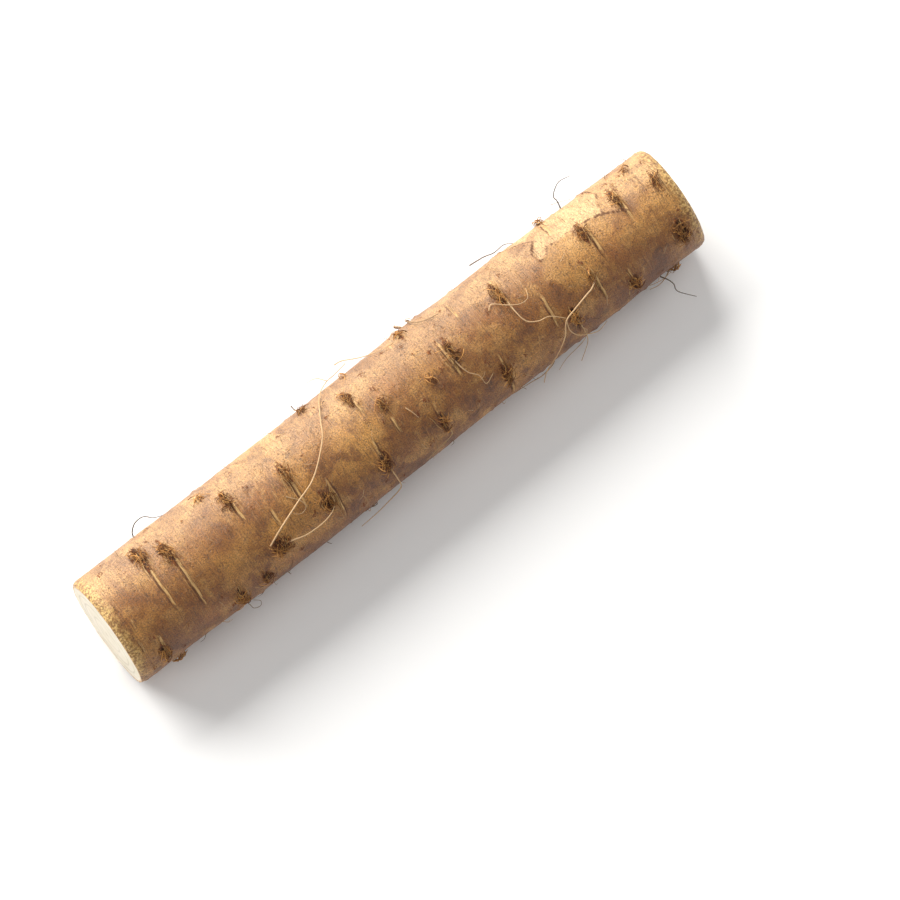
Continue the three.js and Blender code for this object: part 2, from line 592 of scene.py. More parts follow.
def stretched(tree, scale, turn_by=(0, 0, 0), move=(0, 0, 0)):
    """Object coordinates, scaled for each axis."""
    place_node = add(tree, "ShaderNodeTexCoord").outputs["Object"]
    inputs = {"Vector": place_node, "Location": move, "Rotation": turn_by, "Scale": scale}
    return add(tree, "ShaderNodeMapping", inputs).outputs[0]


def cloud(tree, where, scale, detail=2.0, roughness=0.5, distortion=0.0):
    inputs = {
        "Vector": where, "Scale": scale, "Detail": detail,
        "Roughness": roughness, "Distortion": distortion,
    }
    return add(tree, "ShaderNodeTexNoise", inputs).outputs["Fac"]


def new_group(name, inputs, outputs):
    """An empty shader group with its named inputs and outputs."""
    tree = bpy.data.node_groups.new(name, "ShaderNodeTree")
    for title, kind, value in inputs:
        socket = tree.interface.new_socket(title, in_out="INPUT", socket_type=kind)
        if value is not None:
            socket.default_value = value
    for title, kind in outputs:
        tree.interface.new_socket(title, in_out="OUTPUT", socket_type=kind)
    return tree, tree.nodes.new("NodeGroupInput").outputs, tree.nodes.new("NodeGroupOutput").inputs


def use_group(tree, group, **inputs):
    made = tree.nodes.new("ShaderNodeGroup")
    made.node_tree = group
    for title, value in inputs.items():
        title = title.replace("_", " ")
        if isinstance(value, bpy.types.NodeSocket):
            tree.links.new(value, made.inputs[title])
        else:
            made.inputs[title].default_value = value
    return made.outputs


def new_material(name, roughness):
    material = bpy.data.materials.new(name)
    material.use_nodes = True
    tree = material.node_tree
    shader = tree.nodes["Principled BSDF"]
    shader.inputs["Roughness"].default_value = roughness
    return material, tree, shader


def grain_group():
    """Fine grain: small flecks and dark pores, as a factor for the colour and a height."""
    tree, given, out = new_group(
        "plant_grain",
        [
            ("Vector", "NodeSocketVector", None),
            ("Fleck Scale", "NodeSocketFloat", 1500.0),
            ("Pore Scale", "NodeSocketFloat", 800.0),
            ("Contrast", "NodeSocketFloat", 0.3),
        ],
        [("Shade", "NodeSocketFloat"), ("Pores", "NodeSocketFloat"), ("Height", "NodeSocketFloat")],
    )
    flecks = cloud(tree, given["Vector"], given["Fleck Scale"], 3.0, 0.65)
    cells = add(tree, "ShaderNodeTexVoronoi", {"Vector": given["Vector"], "Scale": given["Pore Scale"]})
    chance = add(tree, "ShaderNodeSeparateColor", {"Color": cells.outputs["Color"]}).outputs[0]
    reach = spread(tree, chance, 0.35, 1.0, 0.0, 0.42, smooth=False)
    depth = maths(tree, "SUBTRACT", reach, cells.outputs["Distance"])
    pores = spread(tree, depth, 0.0, 0.14)
    swing = times(tree, maths(tree, "SUBTRACT", flecks, 0.5), given["Contrast"])
    shade = maths(tree, "ADD", swing, 1.0)
    tree.links.new(shade, out["Shade"])
    tree.links.new(pores, out["Pores"])
    height = maths(tree, "SUBTRACT", flecks, times(tree, pores, 0.8))
    tree.links.new(height, out["Height"])
    return tree


def tinted(tree, base, factor):
    """A colour multiplied by a grey factor."""
    grey = add(tree, "ShaderNodeCombineColor", {"Red": factor, "Green": factor, "Blue": factor})
    return mixed(tree, 1.0, base, grey.outputs[0], blend="MULTIPLY")


def skin_finish(grain):
    """Brown papery skin: mottled, pored, darker in scars, with painted shade in the creases and on the low
    side, a painted highlight on the far flank, ochre at the cut rims.
    """
    material, tree, shader = new_material("burdock_skin", 0.5)
    where = stretched(tree, (1, 1, 1))
    rings = stretched(tree, (9, 1, 1))

    # Broad and middling mottling
    broad = cloud(tree, where, 55.0, 2.0, 0.5)
    patchy = cloud(tree, where, 190.0, 3.0, 0.6, 0.4)
    ringed = cloud(tree, rings, 75.0, 2.0, 0.55)
    base = mixed(tree, spread(tree, broad, 0.36, 0.64), colour("#8a5319"), colour("#b8813a"))
    base = washed(tree, base, patchy, 0.5, 0.7, 0.5, "#c08e4b")
    base = washed(tree, base, patchy, 0.5, 0.32, 0.62, "#6c3a11")
    base = washed(tree, base, ringed, 0.52, 0.7, 0.28, "#6f390f")
    warm = cloud(tree, stretched(tree, (1, 1, 1), move=(0.4, 0.1, 0)), 110.0, 3.0, 0.6)
    base = washed(tree, base, warm, 0.56, 0.74, 0.4, "#9c5a1f")

    # Painted highlight: the far flank is painted paler, on the side where the key light falls
    highlight_side_y = add(tree, "ShaderNodeSeparateXYZ", {"Vector": where}).outputs[1]
    painted_highlight_side = maths(tree, "ADD", highlight_side_y, times(tree, broad, 0.01))
    base = washed(tree, base, painted_highlight_side, 0.002, 0.018, 0.36, "#c5a67c")

    # Flaked patch
    base = mixed(tree, times(tree, mark(tree, "peel"), 0.6), base, colour("#d2ab78"))

    # Fine hairlines run round the root
    hairs = cloud(tree, stretched(tree, (11, 1, 1)), 230.0, 3.0, 0.62)
    base = washed(tree, base, hairs, 0.57, 0.66, 0.5, "#522c0d")
    base = washed(tree, base, hairs, 0.42, 0.34, 0.22, "#c39a63")

    # Grain and pores
    fine = use_group(tree, grain, Vector=where, Fleck_Scale=3000.0, Pore_Scale=1400.0, Contrast=3.4)
    base = tinted(tree, base, fine["Shade"])
    base = mixed(tree, times(tree, fine["Pores"], 0.45), base, colour("#4a2810"))
    spots = use_group(tree, grain, Vector=where, Fleck_Scale=500.0, Pore_Scale=210.0, Contrast=0.3)
    specks = times(tree, spots["Pores"], spread(tree, patchy, 0.45, 0.6, 0.0, 0.6))
    base = mixed(tree, specks, base, colour("#4c2a11"))

    # Ridges, and the cracks beside them darkened with painted shade
    frayed = cloud(tree, stretched(tree, (5, 1, 1)), 520.0, 2.0, 0.6)
    crest = times(tree, mark(tree, "ridge"), spread(tree, frayed, 0.35, 0.6, 0.3, 1.0))
    base = washed(tree, base, crest, 0.12, 0.5, 0.9, "#d8ad6c")
    crack_and_shade = times(tree, mark(tree, "crease_and_shade"), spread(tree, frayed, 0.35, 0.62, 0.4, 1.2))
    base = washed(tree, base, crack_and_shade, 0.08, 0.65, 0.88, "#54290c")

    # Scars: dark and fibrous, with straw-coloured strands
    hatch_a = cloud(tree, stretched(tree, (1, 4, 4), turn_by=(0, 0.4, 0.5)), 700.0, 2.0, 0.6)
    hatch_b = cloud(tree, stretched(tree, (4, 1, 1), turn_by=(0, 0.3, 0.3)), 600.0, 2.0, 0.6)
    strands = maths(tree, "MAXIMUM", hatch_a, hatch_b)
    scar = mark(tree, "scar")
    ragged = maths(tree, "ADD", scar, times(tree, maths(tree, "SUBTRACT", strands, 0.6), 3.0))
    edged = maths(tree, "MINIMUM", ragged, times(tree, scar, 4.0))
    torn = spread(tree, edged, 0.15, 0.4, 0.0, 1.0)
    core = spread(tree, scar, 0.35, 0.9)
    dark = mixed(tree, core, colour("#7d4015"), colour("#431f09"))
    threads = cloud(tree, where, 1300.0, 2.0, 0.6)
    fibre = washed(tree, dark, threads, 0.55, 0.66, 1.0, "#a8682e")
    base = mixed(tree, torn, base, fibre)

    # Ochre band at the cut rims
    near = mark(tree, "from_cut")
    wander = cloud(tree, where, 420.0, 3.0, 0.65)
    edge = maths(tree, "ADD", near, times(tree, maths(tree, "SUBTRACT", wander, 0.5), 4.5))
    band = spread(tree, edge, 3.5, 0.8, 0.0, 0.85)
    ochre = mixed(tree, spread(tree, cloud(tree, where, 1500.0, 2.0, 0.6), 0.4, 0.62),
                  colour("#875c22"), colour("#deb86e"))
    base = mixed(tree, band, base, ochre)
    rim_specks = times(tree, fine["Pores"], spread(tree, near, 4.5, 0.5, 0.0, 0.6))
    base = mixed(tree, rim_specks, base, colour("#472a0b"))

    # Painted shade: the side that lies low is painted darker, with a ragged edge
    split = add(tree, "ShaderNodeSeparateXYZ", {"Vector": where})
    uneven = times(tree, maths(tree, "SUBTRACT", patchy, 0.5), 0.04)
    painted_low_shade = spread(tree, maths(tree, "ADD", split.outputs[2], uneven), 0.029, 0.012, 0.0, 1.0)
    base = mixed(tree, painted_low_shade, base, mixed(tree, 1.0, base, (0.62, 0.45, 0.26, 1), blend="MULTIPLY"))
    tree.links.new(base, shader.inputs["Base Color"])
    shader.inputs["Specular IOR Level"].default_value = 0.95
    shader.inputs["Specular Tint"].default_value = (1.0, 0.92, 0.78, 1.0)

    gloss = spread(tree, fine["Shade"], 0.5, 1.5, 0.5, 0.38, smooth=False)
    dry = maths(tree, "MAXIMUM", torn, crack_and_shade)
    rough = maths(tree, "ADD", gloss, times(tree, dry, 0.45), clamp=True)
    tree.links.new(rough, shader.inputs["Roughness"])

    relief = maths(tree, "ADD", fine["Height"], times(tree, ringed, 0.7))
    relief = maths(tree, "ADD", relief, times(tree, hairs, -1.2))
    relief = maths(tree, "ADD", relief, times(tree, times(tree, strands, torn), 2.5))
    bump = add(tree, "ShaderNodeBump", {"Height": relief, "Strength": 0.8, "Distance": 0.00025})
    tree.links.new(bump.outputs[0], shader.inputs["Normal"])
    return material


def flesh_finish(grain):
    """Pale cut flesh with olive ring lines, a darker heart and a brown edge."""
    material, tree, shader = new_material("cut_flesh", 0.42)
    where = stretched(tree, (1, 1, 1))
    share = mark(tree, "share")
    wobble = cloud(tree, where, 240.0, 2.0, 0.5)
    reach = maths(tree, "ADD", share, times(tree, maths(tree, "SUBTRACT", wobble, 0.5), 0.05))
    base = mixed(tree, spread(tree, cloud(tree, where, 300.0, 3.0, 0.6), 0.3, 0.7),
                 colour("#c8bda5"), colour("#d2c8b6"))
    for ring, width, depth in ((0.36, 0.035, 0.5), (0.63, 0.04, 0.55), (0.8, 0.03, 0.6)):
        off = maths(tree, "ABSOLUTE", maths(tree, "SUBTRACT", reach, ring))
        line = spread(tree, off, width, 0.0, 0.0, depth)
        base = mixed(tree, line, base, colour("#9f9277"))
    heart = spread(tree, reach, 0.09, 0.02, 0.0, 0.6)
    base = mixed(tree, heart, base, colour("#a59370"))
    fine = use_group(tree, grain, Vector=where, Fleck_Scale=1400.0, Pore_Scale=1000.0, Contrast=0.14)
    base = tinted(tree, base, fine["Shade"])
    bark = spread(tree, reach, 0.945, 0.985, 0.0, 0.85)
    base = mixed(tree, bark, base, colour("#b98a48"))
    tree.links.new(base, shader.inputs["Base Color"])
    shader.inputs["Subsurface Weight"].default_value = 0.15
    shader.inputs["Subsurface Radius"].default_value = (0.002, 0.0014, 0.0008)
    bump = add(tree, "ShaderNodeBump", {"Height": fine["Height"], "Strength": 0.25, "Distance": 0.0001})
    tree.links.new(bump.outputs[0], shader.inputs["Normal"])
    return material


def fibre_finish(grain, name, dark, light, roughness):
    """Thin dry fibres: each has its own tint between the two colours, with grain along it."""
    material, tree, shader = new_material(name, roughness)
    where = stretched(tree, (1, 1, 1))
    fine = use_group(tree, grain, Vector=where, Fleck_Scale=2200.0, Pore_Scale=1500.0, Contrast=0.6)
    shader.inputs["Specular IOR Level"].default_value = 0.3
    base = mixed(tree, mark(tree, "tint"), colour(dark), colour(light))
    base = tinted(tree, base, fine["Shade"])
    tree.links.new(base, shader.inputs["Base Color"])
    bump = add(tree, "ShaderNodeBump", {"Height": fine["Height"], "Strength": 0.3, "Distance": 0.00005})
    tree.links.new(bump.outputs[0], shader.inputs["Normal"])
    return material


# ---------------------------------------------------------------- fibres, by geometry nodes


def new_modifier_tree(name, inputs):
    tree = bpy.data.node_groups.new(name, "GeometryNodeTree")
    tree.interface.new_socket("Geometry", in_out="INPUT", socket_type="NodeSocketGeometry")
    for title, kind, _ in inputs:
        tree.interface.new_socket(title, in_out="INPUT", socket_type=kind)
    tree.interface.new_socket("Geometry", in_out="OUTPUT", socket_type="NodeSocketGeometry")
    return tree, tree.nodes.new("NodeGroupInput").outputs, tree.nodes.new("NodeGroupOutput").inputs


def grown_mesh(name, guide, tree, inputs):
    """Runs a tree on a guide object and keeps the result as a plain mesh."""
    modifier = guide.modifiers.new("grow", "NODES")
    modifier.node_group = tree
    sockets = {s.name: s.identifier for s in tree.interface.items_tree if s.in_out == "INPUT"}
    for title, _, value in inputs:
        modifier[sockets[title]] = value
    graph = bpy.context.evaluated_depsgraph_get()
    mesh = bpy.data.meshes.new_from_object(guide.evaluated_get(graph))
    mesh.name = name
    keep_over_floor(mesh)
    made = bpy.data.objects.new(name, mesh)
    bpy.context.scene.collection.objects.link(made)
    bpy.data.objects.remove(guide)
    return made


def keep_over_floor(mesh):
    spots = np.zeros(len(mesh.vertices) * 3, np.float32)
    mesh.vertices.foreach_get("co", spots)
    spots = spots.reshape(-1, 3)
    spots[:, 2] = np.maximum(spots[:, 2], cad_low.z + 0.02 * MM)
    mesh.vertices.foreach_set("co", spots.ravel())


def strand_tree(inputs):
    """A round tube along each guide line, as thick as the guide's own thickness says."""
    tree, given, out = new_modifier_tree("strands_along_lines", inputs)
    line = add(tree, "GeometryNodeMeshToCurve", {"Mesh": given["Geometry"]})
    thick = add(tree, "GeometryNodeInputNamedAttribute", {"Name": "thickness"}, data_type="FLOAT")
    circle = add(tree, "GeometryNodeCurvePrimitiveCircle", {"Resolution": given["Sides"], "Radius": 1.0})
    sized = add(tree, "GeometryNodeSetCurveRadius", {"Curve": line.outputs[0], "Radius": thick.outputs[0]})
    radius = add(tree, "GeometryNodeInputRadius")
    tube_inputs = {
        "Curve": sized.outputs[0],
        "Profile Curve": circle.outputs[0],
        "Scale": radius.outputs[0],
        "Fill Caps": True,
    }
    tube = add(tree, "GeometryNodeCurveToMesh", tube_inputs)
    smooth = add(tree, "GeometryNodeSetShadeSmooth", {"Geometry": tube.outputs[0]})
    real = add(tree, "GeometryNodeRealizeInstances", {"Geometry": smooth.outputs[0]})
    finished = add(tree, "GeometryNodeSetMaterial",
                   {"Geometry": real.outputs[0], "Material": given["Material"]})
    tree.links.new(finished.outputs[0], out["Geometry"])
    return tree


def make_strands(name, lines, sides, material):
    """lines: (points in metres, thickness in millimetres at each point, tint) for each strand."""
    points, edges, thickness, tint = [], [], [], []
    for course, thick, shade in lines:
        first = len(points)
        points.extend(tuple(p) for p in course)
        edges.extend((first + i, first + i + 1) for i in range(len(course) - 1))
        thickness.extend(np.broadcast_to(thick, len(course)) * MM)
        tint.extend([shade] * len(course))
    mesh = bpy.data.meshes.new(name + "_guide")
    mesh.from_pydata(points, edges, [])
    set_marks(mesh, thickness=thickness, tint=tint)
    guide = bpy.data.objects.new(name + "_guide", mesh)
    bpy.context.scene.collection.objects.link(guide)
    inputs = [("Sides", "NodeSocketInt", sides), ("Material", "NodeSocketMaterial", material)]
    made = grown_mesh(name, guide, strand_tree(inputs), inputs)
    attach(made, BODY)
    return made


def smooth_course(corners, step=0.35):
    """A rounded line through given corners, with points about step millimetres apart."""
    corners = np.asarray(corners, float)
    padded = np.vstack([2 * corners[0] - corners[1], corners, 2 * corners[-1] - corners[-2]])
    course = []
    for a, b, c, d in zip(padded, padded[1:], padded[2:], padded[3:]):
        count = max(3, int(np.linalg.norm((c - b) / MM) / step))
        for t in np.linspace(0, 1, count, endpoint=False):
            course.append(0.5 * (2 * b + (c - a) * t + (2 * a - 5 * b + 4 * c - d) * t * t
                                 + (3 * b - a - 3 * c + d) * t ** 3))
    course.append(corners[-1])
    return np.array(course)


# Rootlets: thickness at the base (radius), tint, and places (along, around, height over the skin)
ROOTLETS = [
    (0.22, 0.9, [(44, 42, 0.1), (48.8, 32, 1.2), (55.5, 23, 1.7), (62, 15, 1.6), (69.3, -6, 1.2),
                 (72.6, -26, 0.8), (76.5, -54, 0.6), (80.5, -74, 1.0), (84, -83, 1.4), (87.6, -79, 1.8)]),
    (0.12, 0.8, [(81, -72, 1.2), (79.4, -79, 3.3), (77, -86, 4.2)]),
    (0.20, 0.95, [(46.5, 50, 0), (49, 50, 0.6), (53, 53, 1.4), (57.5, 53, 1.8), (61, 51, 1.6),
                  (63, 47, 1.0), (64, 40, 0.4)]),
    (0.13, 0.7, [(53.9, 13, 0.1), (56.3, 24, 0.6), (56.6, 32, 0.8), (54.7, 34, 0.7), (53, 30, 0.2)]),
    (0.11, 0.4, [(32, 80, 0.1), (33, 96, 0.8), (33.6, 103, 1.9), (35.2, 103, 2.4), (36, 103, 1.5),
                 (34.5, 100, 0.2)]),
    (0.19, 0.8, [(79.7, 50, 0.2), (80.3, 68, 0.8), (80.7, 85, 1.2), (80, 100, 1.3), (76, 103, 1.9),
                 (72, 103, 2.3), (67.4, 103, 2.4)]),
    (0.15, 0.7, [(97.5, 60, 0.1), (98, 71, 0.8), (93, 76, 0.8), (89.7, 84, 0.3)]),
    (0.16, 0.9, [(85.5, -86, 3.4), (87.3, -79, 2.8), (91, -67, 0.8), (95, -52, 0.4), (99.7, -48, 0.1)]),
    (0.16, 0.85, [(107.2, 2, 0.2), (107.8, 10, 0.6), (108.3, 20, 0.8), (109.2, 28, 0.6), (111, 36, 0.7),
                  (111.6, 47, 0.7), (114.4, 44, 0.2)]),
    (0.15, 0.85, [(122.3, -6, 0.4), (123.8, -9, 0.6), (126.8, 1, 0.9), (129.4, 7, 1.0), (132, 7, 0.8),
                 (133.2, -2, 0.2)]),
    (0.19, 0.9, [(127.6, -8, 0.1), (127.4, 8, 0.8), (128.2, 22, 1.1), (130.7, 29, 1.3), (133.9, 32, 1.6),
                 (137.3, 43, 1.5)]),
    (0.21, 0.9, [(149.5, 32, 0.1), (147, 37, 0.8), (145.1, 38, 1.2), (140.4, 41, 1.8), (137, 45, 1.8),
                 (134.9, 59, 1.5), (131.5, 74, 1.2), (128, 97, 0.9), (126, 103, 2.6)]),
    (0.15, 0.85, [(137, 46, 1.7), (136.8, 56, 1.5), (138.2, 68, 1.4), (141.5, 80, 1.4), (144.5, 92, 1.2),
                 (147.8, 97, 0.4)]),
    (0.16, 0.75, [(139.8, 50, 0.1), (140.2, 60, 0.8), (140.6, 76, 1.2), (140.8, 95, 1.4), (139.5, 103, 2.6),
                  (137, 103, 4.2)]),
    (0.12, 0.7, [(140.3, 66, 0.9), (141.2, 76, 1.0), (139.2, 88, 1.2), (134, 97, 1.5), (131, 103, 2.5)]),
    (0.13, 1.0, [(91, 17, 0.5), (91.8, 24, 0.6), (92.5, 32, 0.3)]),
    (0.17, 0.0, [(154.4, -70, -0.2), (155.2, -79, 2.0), (155.8, -88, 4.0), (158.4, -82, 5.6),
                 (161, -69, 5.2)]),
    (0.07, 0.3, [(153.5, -88, 2.6), (156, -78, 1.2), (158.5, -70, 0.1)]),
    (0.17, 0.1, [(128, -88, 2.4), (131.6, -78, 1.6), (134, -70, 1.0), (137.4, -75, 1.0), (140, -84, 0.1)]),
    (0.17, 0.0, [(19.4, -84, 0), (20.2, -87, 1.6), (21.8, -80, 2.6), (24, -72, 2.6), (26, -76, 0.9),
                 (28, -70, 0.1)]),
    (0.17, 0.1, [(70.6, -86, 2.0), (70.5, -76, 0.3), (71.5, -60, 0.1)]),
    (0.17, 0.1, [(165.8, 103, 0), (167, 103, 1.8), (167.6, 103, 3.6), (167.4, 103, 5.6), (170.6, 103, 9.5)]),
]
TIP_SHARE = 0.45  # a rootlet's tip is this share of its thickness at the base


def over_skin(corners):
    """Places with their heights over the skin, as points in metres, never under the floor."""
    along, around, lift = (np.array(column, float) for column in zip(*corners))
    points = place(along, around, swelling(along, around) + lift)
    points[:, 2] = np.maximum(points[:, 2], cad_low.z + 0.3 * MM)
    return points


def tapered(count, base, tip_share=TIP_SHARE):
    return base * np.linspace(1, tip_share, count)


def wander(dice, along, around, steps, lift):
    """A rootlet that leaves a scar and strays over the skin."""
    heading = dice.uniform(0, 2 * math.pi)
    corners = [(along, around, 0.0)]
    for i in range(steps):
        heading += dice.uniform(-0.6, 0.6)
        along += 2.6 * math.cos(heading)
        around += 11 * math.sin(heading)
        if not 3 < along < LENGTH - 3:
            break
        height = lift * math.sin(math.pi * (i + 1) / (steps + 1)) + 0.25
        corners.append((along, around, height))
    return corners


def rootlet_lines(dice):
    lines = []
    for base, tint, corners in ROOTLETS:
        course = smooth_course(over_skin(corners))
        lines.append((course, tapered(len(course), base), tint))
    for along, around, _, _, _ in SCARS[-BACK_SCARS:]:
        for _ in range(dice.choice((0, 1, 2))):
            corners = wander(dice, along, around, dice.randint(4, 9), dice.uniform(0.4, 1.4))
            if len(corners) > 2:
                course = smooth_course(over_skin(corners))
                lines.append((course, tapered(len(course), dice.uniform(0.13, 0.26)), dice.uniform(0.4, 1)))
    return lines


FUZZ_HAIRS = 150


def fuzz_lines(dice):
    """Short fine hairs all over the skin."""
    lines = []
    for _ in range(FUZZ_HAIRS):
        along = dice.uniform(4, LENGTH - 4)
        around = dice.uniform(-180, 180)
        corners = wander(dice, along, around, 2, dice.uniform(0.2, 1.0))
        corners = [(a0 + 0.45 * (a - a0), b0 + 0.45 * (b - b0), c)
                   for (a0, b0, _), (a, b, c) in zip([corners[0]] * 9, corners)]
        if len(corners) > 2:
            course = smooth_course(over_skin(corners), 0.3)
            lines.append((course, tapered(len(course), dice.uniform(0.05, 0.09)), dice.uniform(0, 1)))
    return lines


def ridge_strand_lines(dice):
    """Two or three dry strands lie along each strong ridge, half sunk in the skin."""
    lines = []
    for ridge in RIDGES:
        strength = ridge[3]
        if strength < 0.5:
            continue
        _, start, end, _ = ridge
        for _ in range(dice.choice((2, 3, 4, 5))):
            first = start + dice.uniform(0, 0.35) * (end - start)
            last = end - dice.uniform(0, 0.3) * (end - start)
            around = np.arange(first, last, 1.5)
            offset = dice.gauss(0, 0.4)
            phase = dice.uniform(0, 6)
            along = ridge_line(ridge, around) + offset + 0.12 * np.sin(around * 0.25 + phase)
            local = skin_height(along, around)
            course = place(along, around, local - 0.03)
            ends = np.sin(np.linspace(0.12, np.pi - 0.08, len(around))) ** 0.6
            lines.append((course, ends * dice.uniform(0.04, 0.085), dice.uniform(0, 1)))
    return lines


def scar_strand_lines(dice):
    """Loose strands run out of each scar to both sides, round the root."""
    lines = []
    for along, around, reach_along, _, dark in SCARS:
        if dark < 0.6:
            continue
        for _ in range(dice.randint(6, 10)):
            way = np.arange(0, dice.uniform(9, 30), 1.4)
            spots = around + dice.choice((-1, 1)) * (way - 5)
            start = along + 0.5 * reach_along * dice.gauss(0, 1)
            course = start + dice.uniform(-0.07, 0.07) * way + 0.1 * np.sin(0.4 * way + start)
            lift = skin_height(course, spots) + 0.1 * np.sin(0.5 * way)
            thick = np.linspace(1, 0.35, len(way)) * dice.uniform(0.06, 0.12)
            lines.append((place(course, spots, lift), thick, dice.uniform(0, 1)))
    return lines


def skin_height(along, around):
    """Height of the skin along a line, without its finest roughness."""
    height = swelling(along, around) + WAVE_HEIGHT * lumps(place(along, around), WAVE_SIZE)
    for ridge in RIDGES:
        off = along - ridge_line(ridge, around)
        height = height + CREST_HEIGHT * ridge_running(ridge, around) * bell(off, CREST_SPREAD)
    for scar in SCARS:
        off, _ = scar_distance(scar, along, around)
        height = height + SCAR_HEIGHT * scar[4] * bell(off, SCAR_SPREAD)
    return height


def bristle_tree(inputs):
    """Tufts of short bent bristles on scar points, turned at random but lying with the skin."""
    tree, given, out = new_modifier_tree("scar_bristles", inputs)
    copies = add(tree, "GeometryNodeInputNamedAttribute", {"Name": "bristles"}, data_type="INT")
    spots = add(tree, "GeometryNodeMeshToPoints", {"Mesh": given["Geometry"]})
    many = add(tree, "GeometryNodeDuplicateElements",
               {"Geometry": spots.outputs[0], "Amount": copies.outputs[0]}, domain="POINT")
    facing = vector_mark(tree, "facing")
    ring = vector_mark(tree, "ring")
    lengthways = vector_maths(tree, "CROSS_PRODUCT", facing, ring)
    order = add(tree, "GeometryNodeInputIndex").outputs[0]

    def chance(low, high, salt):
        seed = add(tree, "FunctionNodeRandomValue",
                   {2: low, 3: high, "ID": order, "Seed": add_whole(tree, given["Seed"], salt)},
                   data_type="FLOAT")
        return seed.outputs[1]

    reach_ring = add(tree, "GeometryNodeInputNamedAttribute", {"Name": "reach_around"}, data_type="FLOAT")
    reach_long = add(tree, "GeometryNodeInputNamedAttribute", {"Name": "reach_along"}, data_type="FLOAT")
    step_ring = times(tree, chance(-0.85, 0.85, 1), reach_ring.outputs[0])
    step_long = times(tree, chance(-0.85, 0.85, 2), reach_long.outputs[0])
    drop = times(tree, times(tree, step_ring, step_ring), given["Curve of skin"])
    offset = vector_maths(tree, "ADD", scaled_vector(tree, ring, step_ring),
                          scaled_vector(tree, lengthways, step_long))
    offset = vector_maths(tree, "SUBTRACT", offset, scaled_vector(tree, facing, drop))
    moved = add(tree, "GeometryNodeSetPosition", {"Geometry": many.outputs[0], "Offset": offset})

    bristle = bristle_form(tree, given)
    heading = vector_maths(tree, "ADD", scaled_vector(tree, ring, chance(-1.0, 1.0, 3)),
                           scaled_vector(tree, lengthways, chance(-0.75, 0.75, 4)))
    heading = vector_maths(tree, "ADD", heading, scaled_vector(tree, facing, chance(-0.1, 0.3, 5)))
    rotation = add(tree, "FunctionNodeAxesToRotation", {"Primary Axis": facing, "Secondary Axis": heading},
                   primary_axis="Z", secondary_axis="X")
    size = add(tree, "ShaderNodeCombineXYZ",
               {"X": chance(0.45, 1.5, 6), "Y": chance(-1.5, 1.5, 7), "Z": chance(0.35, 1.6, 8)})
    placed = add(tree, "GeometryNodeInstanceOnPoints",
                 {"Points": moved.outputs[0], "Instance": bristle, "Rotation": rotation.outputs[0],
                  "Scale": size.outputs[0]})
    tint = maths(tree, "POWER", chance(0.0, 1.0, 9), 1.3)
    toned = add(tree, "GeometryNodeStoreNamedAttribute",
                {"Geometry": placed.outputs[0], "Name": "tint", "Value": tint},
                data_type="FLOAT", domain="INSTANCE")
    real = add(tree, "GeometryNodeRealizeInstances", {"Geometry": toned.outputs[0]})
    finished = add(tree, "GeometryNodeSetMaterial",
                   {"Geometry": real.outputs[0], "Material": given["Material"]})
    tree.links.new(finished.outputs[0], out["Geometry"])
    return tree


def bristle_form(tree, given):
    """One bristle: a thin tapering arch that leaves the skin and bends back to it."""
    arch = add(tree, "GeometryNodeCurveQuadraticBezier",
               {"Resolution": 5, "Start": (-0.5, 0, -0.05), "Middle": (0.1, 0.25, 0.42),
                "End": (0.5, -0.1, 0.0)})
    size = scaled_vector(tree, add(tree, "GeometryNodeInputPosition").outputs[0], given["Bristle length"])
    bent = add(tree, "GeometryNodeSetPosition", {"Geometry": arch.outputs[0], "Position": size})
    factor = add(tree, "GeometryNodeSplineParameter").outputs["Factor"]
    taper = times(tree, spread(tree, factor, 0.0, 1.0, 1.0, 0.3, smooth=False),
                  given["Bristle thickness"])
    circle = add(tree, "GeometryNodeCurvePrimitiveCircle", {"Resolution": 4, "Radius": 1.0})
    tube = add(tree, "GeometryNodeCurveToMesh",
               {"Curve": bent.outputs[0], "Profile Curve": circle.outputs[0], "Scale": taper,
                "Fill Caps": True})
    return add(tree, "GeometryNodeSetShadeSmooth", {"Geometry": tube.outputs[0]}).outputs[0]


def vector_mark(tree, name):
    return add(tree, "GeometryNodeInputNamedAttribute", {"Name": name}, data_type="FLOAT_VECTOR").outputs[0]


def vector_maths(tree, operation, first, second):
    return add(tree, "ShaderNodeVectorMath", {0: first, 1: second}, operation=operation).outputs[0]


def scaled_vector(tree, vector, factor):
    return add(tree, "ShaderNodeVectorMath", {0: vector, "Scale": factor}, operation="SCALE").outputs[0]


def add_whole(tree, first, second):
    return add(tree, "FunctionNodeIntegerMath", {0: first, 1: second}, operation="ADD").outputs[0]


